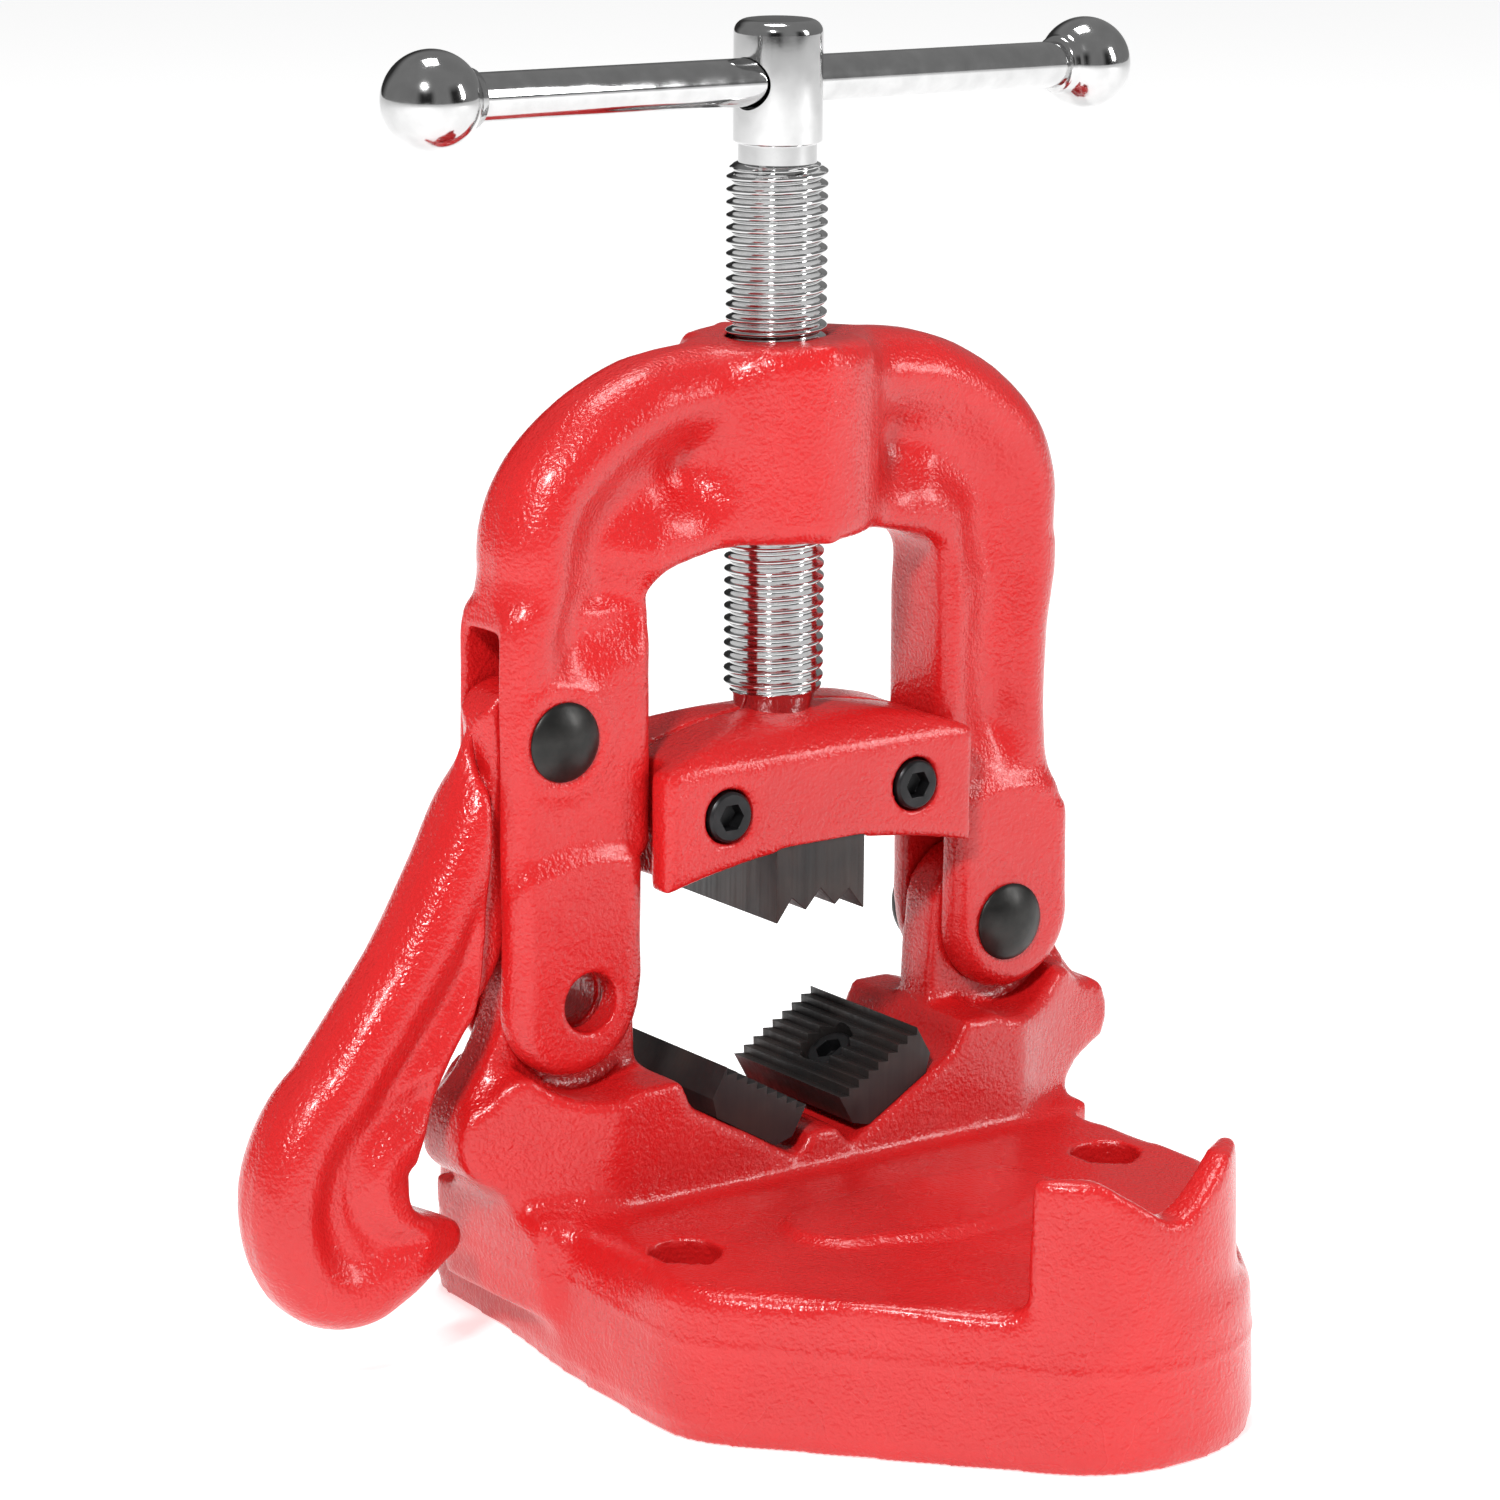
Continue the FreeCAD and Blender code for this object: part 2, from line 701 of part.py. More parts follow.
def make_upper_jaw():
    """A block with four teeth below and a flange above, which the carrier halves grip."""
    body = new_body("upper_jaw")
    half, tip, top = size("upper_jaw_half_width"), size("upper_jaw_tip"), size("upper_jaw_top")
    start = (0, tip + 5.6)
    steps = [
        line(3.6, tip + 1.7),
        line(7.0, tip + 4.6),
        line(half - 0.3, tip),
        line(half, tip),
        line(half, 100),
        line(half + 2.6, 100),
        line(half + 2.6, top),
        line(0, top),
    ]
    section = outline(body, "jaw_section", "XZ_Plane", start, mirrored_steps(start, steps))
    extrude(body, "Pad", section, "Dimensions.upper_jaw_depth", symmetric=True)
    return body


def make_thrust_washer():
    washer = doc.addObject("Part::Cylinder", "thrust_washer")
    washer.Label = "thrust_washer"
    washer.setExpression("Radius", "Dimensions.washer_radius")
    washer.setExpression("Height", "Dimensions.washer_height")
    washer.Placement = Placement(Vector(0, 0, size("upper_jaw_top") + 0.1), Rotation())
    return washer


# ---------------------------------------------------------------- spindle and handle

def make_spindle():
    """The spindle: collar and neck in the carrier, thread, and cross-bored head."""
    body = new_body("spindle_screw")
    major, neck, collar = size("spindle_radius"), size("neck_radius"), size("collar_radius")
    head, top = size("head_radius"), size("head_top")
    low, high = size("thread_bottom"), size("thread_top")
    revolve(body, "spindle_profile", (0, size("collar_bottom")), [
        line(collar, size("collar_bottom")),
        line(collar, size("collar_top")),
        line(neck, size("collar_top")),
        line(neck, low - 0.3),
        line(major - 1.6, low),
        line(major, low + 1.6),
        line(major, high - 1.3),
        line(major - 1.3, high),
        line(major - 2.3, high),
        line(major - 2.3, size("head_bottom")),
        line(head - 0.6, size("head_bottom")),
        line(head, size("head_bottom") + 0.6),
        line(head, top - 2.6),
        arc(head - 0.8, top - 0.8, head - 2.6, top),
        line(0, top),
    ])
    cylinder(body, "Subtractive", "bar_bore", "Dimensions.bar_radius + 0.42", "60",
             bar_point(-30, tilt=False), bar_rotation(tilt=False))
    return body


def bar_rotation(tilt=True):
    """The turn that brings +Z onto the handle bar, whose left end stands a little higher."""
    drop = size("bar_tilt") if tilt else 0.0
    return Rotation(Vector(0, 0, 1), size("bar_turn")) * Rotation(Vector(0, 1, 0), 90 + drop)


def bar_point(distance, tilt=True):
    """A point on the handle's axis, at a distance to the right of the spindle."""
    direction = bar_rotation(tilt).multVec(Vector(0, 0, 1))
    return Vector(0, 0, size("bar_height")) + direction * distance


def make_handle_bar():
    """The bar, with a reduced spigot at each end for the balls."""
    span, spigot = size("bar_span"), size("bar_spigot")
    body = new_body("handle_bar")
    half, radius = span / 2, size("bar_radius")
    shoulder = half - size("ball_radius") * 0.86
    revolve(body, "bar_profile", (0, -half - 2), [
        line(spigot / 2, -half - 2),
        line(spigot / 2, -shoulder),
        line(radius, -shoulder),
        line(radius, shoulder),
        line(spigot / 2, shoulder),
        line(spigot / 2, half + 2),
        line(0, half + 2),
    ])
    body.Placement = Placement(bar_point(0), bar_rotation())
    return body


def make_handle_ball(side, word):
    """A ball with a short collar, bored for the spigot of the bar."""
    label = f"handle_ball_{word}"
    radius, spigot = size("ball_radius"), size("bar_spigot")
    body = new_body(label)
    collar_radius, collar_end = radius * 0.62, radius * 0.98
    bore, bore_end = spigot / 2 + 0.02, 2.1
    collar_foot = math.sqrt(radius**2 - collar_radius**2)
    cheek = math.sqrt(0.5) * radius
    revolve(body, f"{label}_profile", (0, radius), [
        arc(cheek, cheek, radius, 0),
        arc(radius * 0.92, -math.sqrt(1 - 0.92**2) * radius, collar_radius, -collar_foot),
        line(collar_radius, -collar_end),
        line(bore + 0.7, -collar_end),
        line(bore + 0.7, -radius * 0.855),
        line(bore, -radius * 0.855),
        line(bore, bore_end),
        line(0, bore_end),
    ])
    turn = bar_rotation()
    if side < 0:
        turn = turn * Rotation(Vector(0, 1, 0), 180)
    body.Placement = Placement(bar_point(side * size("bar_span") / 2), turn)
    return body


# ---------------------------------------------------------------- assembly

def make_all():
    fork, leg = size("fork_thickness"), size("leg_thickness")
    hinge = Vector(size("pin_x"), 0, size("pin_height"))
    latch = Vector(size("latch_x"), 0, size("latch_height"))
    hinge_radius, latch_radius = size("hinge_pin_radius"), size("latch_pin_radius")
    pieces = [
        make_base(),
        make_yoke(),
        make_latch(),
        make_pin("hinge_pin", hinge_radius, 8.0, fork + 0.04, hinge),
        make_pin_washer("hinge_pin_washer", hinge_radius, fork, hinge),
        make_pin("latch_pin", latch_radius, 7.8, leg + 0.04, latch),
        make_pin_washer("latch_pin_washer", latch_radius, leg, latch),
        make_carrier_half(-1, "front"),
        make_carrier_half(1, "rear"),
        make_upper_jaw(),
        make_thrust_washer(),
        make_spindle(),
        make_handle_bar(),
    ]
    for side, word in ((-1, "left"), (1, "right")):
        pieces.append(make_lower_jaw(side, word))
        pieces.append(make_socket_screw(f"lower_jaw_screw_{word}", 12,
                                        jaw_point(side, -7.98), jaw_axis(side)))
        seat = Vector(side * size("carrier_screw_x"), -size("carrier_depth") / 2 + 5.48,
                      size("carrier_screw_height"))
        pieces.append(make_socket_screw(f"carrier_screw_{word}", 25, seat,
                                        Rotation(Vector(1, 0, 0), 90)))
        pieces.append(make_handle_ball(side, word))
    return pieces


def check_document(pieces):
    """Stop if any object failed, or if any piece is not one valid closed solid."""
    doc.recompute()
    failed = [item.Name for item in doc.Objects if {"Invalid", "Error"} & set(item.State)]
    if failed:
        raise ValueError(f"failed objects: {failed}")
    for piece in pieces:
        shape = piece.Shape
        if shape.isNull() or not shape.isValid() or len(shape.Solids) != 1:
            raise ValueError(f"{piece.Label} is not one valid solid")
        print(f"{piece.Label}: {shape.Volume / 1000:.2f} cm3")


def write_parts(pieces):
    os.makedirs("parts", exist_ok=True)
    for piece in pieces:
        piece.Shape.exportStep(f"parts/{piece.Label}.step")


pieces = make_all()
check_document(pieces)
write_parts(pieces)
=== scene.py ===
"""Looks of a bench yoke pipe vise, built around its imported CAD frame.

Everything is placed in the CAD model's frame. Shapes are worked out in millimetres and stored
in metres. Each visual piece starts from its CAD node or from a turned profile.
"""
import json
import math

import bmesh
import bpy
import numpy as np
from mathutils import Matrix, Vector, noise

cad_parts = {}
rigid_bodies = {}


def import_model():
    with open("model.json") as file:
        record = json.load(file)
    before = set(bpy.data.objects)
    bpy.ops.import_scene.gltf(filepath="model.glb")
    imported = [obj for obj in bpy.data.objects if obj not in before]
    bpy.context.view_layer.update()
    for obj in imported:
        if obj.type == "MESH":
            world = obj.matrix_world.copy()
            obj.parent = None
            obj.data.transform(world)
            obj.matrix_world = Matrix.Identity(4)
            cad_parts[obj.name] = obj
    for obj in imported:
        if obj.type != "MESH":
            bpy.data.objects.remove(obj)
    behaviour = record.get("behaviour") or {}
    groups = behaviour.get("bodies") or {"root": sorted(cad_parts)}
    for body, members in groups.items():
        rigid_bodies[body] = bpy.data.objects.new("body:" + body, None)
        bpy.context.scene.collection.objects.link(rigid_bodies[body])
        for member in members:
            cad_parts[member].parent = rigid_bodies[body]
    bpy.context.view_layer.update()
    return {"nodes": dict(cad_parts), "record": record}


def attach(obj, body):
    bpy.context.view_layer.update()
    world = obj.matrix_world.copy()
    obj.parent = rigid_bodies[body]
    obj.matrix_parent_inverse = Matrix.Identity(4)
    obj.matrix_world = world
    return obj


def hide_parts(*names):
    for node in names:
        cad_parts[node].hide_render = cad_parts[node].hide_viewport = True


# Blender opens with a cube, a lamp and a camera of its own.
for leftover in list(bpy.data.objects):
    bpy.data.objects.remove(leftover)

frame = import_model()
NODES = frame["nodes"]
BODY_OF = {node: body for body, nodes in frame["record"]["behaviour"]["bodies"].items()
           for node in nodes}
MM = 0.001

# Places and sizes of the CAD model that several shapes here meet, in millimetres.
PIN_X, PIN_Z = 51.6, 71.0
LATCH_X, LATCH_Z = -57.0, 123.5
BORE_RADIUS = 6.05
BENCH_X, BENCH_Y, BENCH_RADIUS = 52, -44.1, 7.0
SCREW_X, SCREW_Z = 22.9, 105.2
HEAD_CENTRE = 245.0
CREST_RADIUS = 9.96
BAR_TURN, BAR_TILT = math.radians(8.4), math.radians(1.84)


# ---------------------------------------------------------------- numbers on fields

def smooth(value, low, high):
    """0 below low, 1 above high (or the reverse when low > high), smooth between."""
    t = np.clip((value - low) / (high - low), 0, 1)
    return t * t * (3 - 2 * t)


def bump(value, centre, half_width):
    """A rounded hump of height 1 round the centre."""
    t = np.clip(np.abs(value - centre) / half_width, 0, 1)
    return 0.5 + 0.5 * np.cos(math.pi * t)


def pocket(across, z, centre, size, reach):
    """A rounded dent of depth 1, which ends at reach times its half width and half height."""
    return bump(np.hypot((across - centre[0]) / size[0], (z - centre[1]) / size[1]), 0, reach)


def edge_drop(distance, radius):
    """How far a surface falls away towards an edge rounded with that radius."""
    inside = np.clip(radius - distance, 0, radius)
    return radius - np.sqrt(np.maximum(radius**2 - inside**2, 0))


def smooth_max(a, b, width):
    """The larger value, with a fillet of that width where the two are close."""
    overlap = np.maximum(width - np.abs(a - b), 0)
    return np.maximum(a, b) + overlap**2 / (4 * width)


# ---------------------------------------------------------------- meshes

def coordinates(mesh):
    """The mesh's vertices in millimetres, one row each."""
    flat = np.empty(len(mesh.vertices) * 3)
    mesh.vertices.foreach_get("co", flat)
    return flat.reshape(-1, 3) / MM


def store(mesh, points):
    """Give the mesh these vertices, in millimetres."""
    mesh.vertices.foreach_set("co", (points * MM).ravel())
    mesh.update()


def new_piece(name, mesh, node, material):
    """Link a mesh that stands for a CAD node: it rides on the node's body and hides the node."""
    piece = bpy.data.objects.new(name, mesh)
    bpy.context.scene.collection.objects.link(piece)
    mesh.materials.clear()
    mesh.materials.append(material)
    for face in mesh.polygons:
        face.use_smooth = True
    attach(piece, BODY_OF[node])
    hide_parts(node)
    return piece


def welded_copy(node):
    """The CAD node's mesh with its split corners joined."""
    mesh = NODES[node].data.copy()
    work = bmesh.new()
    work.from_mesh(mesh)
    bmesh.ops.remove_doubles(work, verts=work.verts, dist=1e-6)
    bmesh.ops.recalc_face_normals(work, faces=work.faces)
    work.to_mesh(mesh)
    work.free()
    return mesh


def modified(mesh, settings):
    """The mesh after the given modifiers."""
    holder = bpy.data.objects.new("holder", mesh)
    bpy.context.scene.collection.objects.link(holder)
    for kind, values in settings:
        modifier = holder.modifiers.new(kind.lower(), kind)
        for key, value in values.items():
            setattr(modifier, key, value)
    graph = bpy.context.evaluated_depsgraph_get()
    result = bpy.data.meshes.new_from_object(holder.evaluated_get(graph))
    bpy.data.objects.remove(holder)
    return result


def voxel_mesh(node, voxel):
    """An even mesh over the CAD node, fine enough to model on."""
    settings = {"mode": "VOXEL", "voxel_size": voxel * MM, "adaptivity": 0.0}
    return modified(welded_copy(node), [("REMESH", settings)])


def relax(mesh, points, rounds, strength=None):
    """Smooth the points over the mesh's edges, each by its own strength from 0 to 1."""
    pairs = np.empty(len(mesh.edges) * 2, int)
    mesh.edges.foreach_get("vertices", pairs)
    first, second = pairs.reshape(-1, 2).T
    count = len(points)
    degree = np.maximum(np.bincount(pairs, minlength=count), 1)
    weight = np.ones(count) if strength is None else strength
    for _ in range(rounds):
        total = np.empty_like(points)
        for axis in range(3):
            total[:, axis] = (
                np.bincount(first, points[second, axis], count)
                + np.bincount(second, points[first, axis], count))
        points = points + (total / degree[:, None] - points) * (weight * 0.6)[:, None]
    return points


def snap_bore(points, centre, direction, radius, span, band=0.9):
    """Bring the points near a round wall exactly onto it, along span from the centre."""
    axis = np.array(direction, float)
    axis /= np.linalg.norm(axis)
    away = points - np.array(centre, float)
    along = away @ axis
    radial = away - along[:, None] * axis
    reach = np.linalg.norm(radial, axis=1)
    near = (np.abs(reach - radius) < band) & (along > span[0]) & (along < span[1])
    scale = np.where(near, radius / np.maximum(reach, 1e-6), 1.0)
    return points + radial * (scale - 1)[:, None]


def near_axis(points, centre, direction, radius, fade):
    """1 within the radius of an axis, falling to 0 over the fade."""
    axis = np.array(direction, float)
    axis /= np.linalg.norm(axis)
    away = points - np.array(centre, float)
    radial = away - (away @ axis)[:, None] * axis
    return 1 - smooth(np.linalg.norm(radial, axis=1), radius, radius + fade)


def undulate(points, height, length):
    """Slow waves in a sand-cast skin."""
    waves = np.array([noise.noise_vector(Vector(point / length)) for point in points])
    return points + waves * height


def section(node, level):
    """Where the CAD node is cut by the plane y = level: segments (x1, z1, x2, z2) in
    millimetres, and each segment's outward normal in the plane."""
    work = bmesh.new()
    work.from_mesh(NODES[node].data)
    bmesh.ops.remove_doubles(work, verts=work.verts, dist=1e-6)
    bmesh.ops.recalc_face_normals(work, faces=work.faces)
    geometry = list(work.verts) + list(work.edges) + list(work.faces)
    cut = bmesh.ops.bisect_plane(work, geom=geometry, plane_co=(0, level * MM, 0),
                                 plane_no=(0, 1, 0))["geom_cut"]
    segments, normals = [], []
    for edge in (item for item in cut if isinstance(item, bmesh.types.BMEdge)):
        a, b = (vertex.co / MM for vertex in edge.verts)
        normal = sum((face.normal for face in edge.link_faces), Vector())
        if (a - b).length < 1e-4 or Vector((normal.x, normal.z)).length < 1e-4:
            continue
        segments.append((a.x, a.z, b.x, b.z))
        normals.append(Vector((normal.x, normal.z)).normalized())
    work.free()
    return np.array(segments), np.array(normals)


def distance_to(points, segments):
    """Distance in the XZ plane from each point to the nearest segment."""
    x, z = points[:, 0], points[:, 2]
    best = np.full(len(points), 1e9)
    for x1, z1, x2, z2 in segments:
        dx, dz = x2 - x1, z2 - z1
        t = np.clip(((x - x1) * dx + (z - z1) * dz) / (dx * dx + dz * dz), 0, 1)
        best = np.minimum(best, np.hypot(x - x1 - t * dx, z - z1 - t * dz))
    return best


def thicken(points, core, old, new):
    """Move the points in Y so that a slab of half thickness old gets half thickness new.
    What is nearer the middle than core stays where it is."""
    depth = np.abs(points[:, 1])
    share = np.clip((depth - core) / np.maximum(old - core, 1e-6), 0, 1)
    share = np.maximum(share, smooth(share, 0.80, 0.92))  # the skin moves all the way
    moved = np.where(depth > core, core + share * (new - core), depth)
    result = points.copy()
    result[:, 1] = np.sign(points[:, 1]) * moved
    return result


# ---------------------------------------------------------------- yoke

def yoke_thickness(points, d_out, d_in):
    """Half thickness of the CAD yoke and of the modelled one, at each point."""
    x, z = points[:, 0], points[:, 2]
    across = np.abs(x)
    plate, fork, boss_radius = 10.3, 12.0, 19.5
    fork_top, slot_top, boss_foot = 98.5, 150, 148

    in_boss = (across < boss_radius) & (z > boss_foot)
    boss = np.sqrt(np.maximum(boss_radius**2 - x**2, 0))
    old = np.where(in_boss, np.maximum(boss, plate), np.where(z < fork_top, fork, plate))

    # The forks swell under an arched step, the eyebrow.
    eyebrow = 98.6 + 2.2 * bump(across, 52, 17)
    new = plate + (fork - plate) * smooth(z, eyebrow + 2.2, eyebrow - 2.2)

    # A groove follows the outer edge, with pockets beside the boss, at the corners and in
    # the right leg, and a low bead outside it.
    from_boss = smooth(across, 15, 26)
    high = smooth(z, 138, 166)
    groove_end = np.where(x > 0, smooth(z, 102, 114), smooth(z, 132, 142))
    centre, width = 17.0 + 4.0 * high, 10.5 + 1.0 * high
    groove = bump(d_out, centre, width) * from_boss * groove_end * smooth(d_in, 0.5, 7)
    new = new - groove * (3.0 + 1.6 * high)
    new = new - 3.8 * pocket(across, z, (25, 171), (8, 10), 1.3)
    new = new - np.where(x < 0, 4.4, 0.8) * pocket(across, z, (42, 148), (9, 10), 1.2)
    new = new - 1.5 * pocket(x, z, (52, 112), (7, 9), 1.2)
    new = new + 0.9 * bump(d_out, 8.0, 7) * from_boss * groove_end

    near_boss = np.where(z > boss_foot, boss, 0.0)
    new = np.where(z > 146, smooth_max(new, near_boss, 8.0), new)

    ring = np.hypot(x - LATCH_X, z - LATCH_Z)
    new = new + 0.7 * bump(ring, 10.2, 2.6)

    # Edges: tighter where the legs are slotted, fullest over the arch.
    slotted = ((x < 0) & (z < slot_top)) | (z < 94)
    outer_radius = np.where(slotted, 4.4, 8.0)
    outer_radius = np.where((x > 0) & (z >= 94) & (z < slot_top), 6.5, outer_radius)
    blend = smooth(z, 146, 160)
    outer_radius = outer_radius * (1 - blend) + 8.0 * blend
    top_boss = (across < 21) & (z > 170)
    outer_radius = np.where(top_boss, 4.0 + 4.0 * smooth(across, 12, 21), outer_radius)
    new = new - np.maximum(edge_drop(d_out, outer_radius), edge_drop(d_in, 3.4))
    return old, new


def make_yoke(material):
    node = "yoke_casting"
    mesh = voxel_mesh(node, 0.85)
    points = coordinates(mesh)
    segments, normals = section(node, 9.7)
    middles = (segments[:, :2] + segments[:, 2:]) / 2
    bores = ((-PIN_X, PIN_Z), (PIN_X, PIN_Z), (LATCH_X, LATCH_Z))
    solid = np.all([np.hypot(*(middles - bore).T) > 7.5 for bore in bores], axis=0)
    solid &= ~((np.abs(middles[:, 0]) < 4) & (np.abs(normals[:, 0]) > 0.7))
    outward = np.sum(normals * (middles - np.array([0, 112.0])), axis=1) > 0
    foot = middles[:, 1] < 73
    d_out = distance_to(points, segments[solid & (outward | foot)])
    d_in = distance_to(points, segments[solid & ~outward & ~foot])
    x, z = points[:, 0], points[:, 2]
    across = np.abs(x)
    core = np.where(((x < 0) & (z < 148)) | (z < 96), 6.6, 0.5)
    old, new = yoke_thickness(points, d_out, d_in)
    points = thicken(points, core, old, np.maximum(new, core + 0.4))
    points = relax(mesh, points, 5)
    valley = smooth(across, 12, 15) * smooth(across, 36, 30) * smooth(z, 156, 162)
    points = relax(mesh, points, 14, valley * smooth(np.abs(points[:, 1]), 5, 8))
    shoulder = smooth(across, 12, 15) * smooth(across, 34, 28) * smooth(z, 186, 190)
    points = relax(mesh, points, 14, shoulder)
    points = undulate(points, 0.16, 9.0)
    for bore_x, bore_z in bores[:2]:
        points = snap_bore(points, (bore_x, 0, bore_z), (0, 1, 0), BORE_RADIUS,
                           (-11.4, 11.4))
    points = snap_bore(points, (0, 0, 170), (0, 0, 1), 10.05, (-13, 25.2), band=0.8)
    store(mesh, points)
    return new_piece("yoke_body", mesh, node, material)


# ---------------------------------------------------------------- latch hook

def make_hook(material):
    node, half_width = "latch_hook", 9.0
    mesh = voxel_mesh(node, 0.7)
    points = coordinates(mesh)
    segments, normals = section(node, 8.0)
    middles = (segments[:, :2] + segments[:, 2:]) / 2
    inner_side = np.sum(normals * (np.array([-72.0, 60.0]) - middles), axis=1) > 0
    inner_side &= middles[:, 1] > 30
    d_out = distance_to(points, segments[~inner_side])
    d_in = distance_to(points, segments[inner_side])
    x, z = points[:, 0], points[:, 2]
    arm_side = np.interp(z, [75, 98, 117, 127], [-73.3, -71.3, -70.2, -71.2])
    on_arm = (x > arm_side) & (z > 70)
    rib = smooth(z, 118, 104) * smooth(z, 14, 34)
    groove = bump(d_out, 15.0, 6.5) * rib * smooth(d_in, 1.0, 4.0)
    bead = 0.5 * bump(d_out, 8.5, 5)
    new = half_width - 3.4 * smooth(z, 110, 124) - 2.8 * groove + bead * rib
    new = new - np.maximum(edge_drop(d_out, 7.0), edge_drop(d_in, 3.0))
    tip = smooth(x, -90, -76) * (z < 42)
    new = new * (1 - 0.55 * tip)
    shaped = thicken(points, 0.4, np.full(len(points), half_width),
                     np.maximum(new, 1.0))
    points = np.where(on_arm[:, None], points, shaped)  # the arm fits its slot as it is
    points = relax(mesh, points, 6)
    points = undulate(points, 0.14, 8.0)
    store(mesh, points)
    return new_piece("latch_hook_body", mesh, node, material)


# ---------------------------------------------------------------- base casting

def add_parting_line(mesh, points):
    """A faint ridge round the foot, where the mould's halves met."""
    store(mesh, points)
    normals = np.empty(len(points) * 3)
    mesh.vertices.foreach_get("normal", normals)
    normals = normals.reshape(-1, 3)
    x, y, z = points.T
    outside = (x * normals[:, 0] + (y + 40) * normals[:, 1]) > 0
    outside &= np.hypot(x, y + 40) > 52
    wall = smooth(np.abs(normals[:, 2]), 0.75, 0.35) * outside
    return points + normals * (wall * 0.3 * bump(z, 19.5, 1.4))[:, None]


def clear_cradle(points, side):
    """Keep the corner between a tongue and its cradle open for the prongs that turn there."""
    cradle, tongue, root = 18.6, 5.4, 16.6
    away_x, away_z = points[:, 0] - side * PIN_X, points[:, 2] - PIN_Z
    reach, depth = np.hypot(away_x, away_z), np.abs(points[:, 1])
    below = points[:, 2] < 62
    floor = below & (reach > root) & (reach < cradle) & (depth > tongue + 0.2) & (depth < 13)
    wall = below & (reach <= root) & (depth > tongue) & (depth < tongue + 1.2)
    scale = np.where(floor, cradle / np.maximum(reach, 1e-6), 1.0)
    result = points.copy()
    result[:, 0] = side * PIN_X + away_x * scale
    result[:, 2] = PIN_Z + away_z * scale
    result[wall, 1] = np.sign(points[wall, 1]) * tongue
    return result


def make_base(material):
    node = "base_casting"
    mesh = voxel_mesh(node, 1.0)
    points = coordinates(mesh)
    x, y, z = points.T
    fine = np.zeros(len(points))
    for side in (-1, 1):
        bench = near_axis(points, (side * BENCH_X, BENCH_Y, 0), (0, 0, 1), 7.2, 1.2)
        hinge = near_axis(points, (side * PIN_X, 0, PIN_Z), (0, 1, 0), 6.4, 1.0)
        fine = np.maximum(fine, np.maximum(bench, hinge))
    strength = 1 - 0.9 * fine
    # The jaws' seats and the shelf's raised pad keep more of their edges.
    crisp = (np.abs(x) < 36) & (np.abs(y) < 22) & (z > 31)
    pad = (np.abs(x) < 33) & (y > -70) & (y < -34) & (z > 28) & (z < 33)
    strength = np.where(crisp, strength * 0.55, np.where(pad, strength * 0.3, strength))
    on_bench, start_z = z < 0.6, z.copy()  # the underside stays in the bench's plane
    points = relax(mesh, points, 8, strength)
    flank = smooth(x, -44, -54) * smooth(y, -8, -22) * smooth(z, 44, 34) * (1 - fine)
    points = relax(mesh, points, 26, flank)
    nose = smooth(y, -92, -100) * bump(z, 31, 9)
    rim = smooth(z, 4.0, 1.5) * (1 - fine)
    points = relax(mesh, points, 20, np.maximum(nose, rim))
    points[on_bench, 2] = start_z[on_bench]
    points = add_parting_line(mesh, points)
    points = undulate(points, 0.16, 10.0)
    for side in (-1, 1):
        points = snap_bore(points, (side * BENCH_X, BENCH_Y, 0), (0, 0, 1), BENCH_RADIUS,
                           (1, 28.6))
        points = snap_bore(points, (side * PIN_X, 0, PIN_Z), (0, 1, 0), BORE_RADIUS,
                           (-4.6, 4.6))
        points = clear_cradle(points, side)
    points[:, 2] = np.maximum(points[:, 2], 0.0)
    store(mesh, points)
    return new_piece("base_body", mesh, node, material)


# ---------------------------------------------------------------- jaw carrier

def make_carrier(word, material):
    node = f"jaw_carrier_{word}"
    mesh = voxel_mesh(node, 0.55)
    points = coordinates(mesh)
    holes = [near_axis(points, (side * SCREW_X, 0, SCREW_Z), (0, 1, 0), 5.9, 0.8)
             for side in (-1, 1)]
    middle = near_axis(points, (0, 0, 0), (0, 0, 1), 9.0, 1.0)
    hidden = smooth(np.abs(points[:, 1]), 3.0, 1.2)
    fine = np.maximum.reduce(holes + [middle, hidden * 0.85])
    points = relax(mesh, points, 26, 1 - 0.9 * fine)
    points = undulate(points, 0.10, 8.0)
    if word == "front":
        for side in (-1, 1):
            points = snap_bore(points, (side * SCREW_X, -17.5, SCREW_Z), (0, 1, 0), 5.5,
                               (0.5, 6.0), band=0.6)
    store(mesh, points)
    return new_piece(f"carrier_{word}_body", mesh, node, material)


# ---------------------------------------------------------------- turned pieces

def circle(work, radius, height, steps):
    """A ring of new vertices round Z, in millimetres."""
    return [work.verts.new((radius * MM * math.cos(2 * math.pi * k / steps),
                            radius * MM * math.sin(2 * math.pi * k / steps),
                            height * MM)) for k in range(steps)]


def lathe(name, profile, steps=96):
    """A closed mesh turned about +Z from (radius, height) points in millimetres; the first
    and last points are on the axis."""
    work = bmesh.new()
    rings = [circle(work, radius, height, steps) for radius, height in profile[1:-1]]
    bottom = work.verts.new((0, 0, profile[0][1] * MM))
    top = work.verts.new((0, 0, profile[-1][1] * MM))
    for k in range(steps):
        after = (k + 1) % steps
        work.faces.new((bottom, rings[0][after], rings[0][k]))
        work.faces.new((top, rings[-1][k], rings[-1][after]))
        for low, high in zip(rings, rings[1:]):
            work.faces.new((low[k], low[after], high[after], high[k]))
    mesh = bpy.data.meshes.new(name)
    work.to_mesh(mesh)
    work.free()
    return mesh


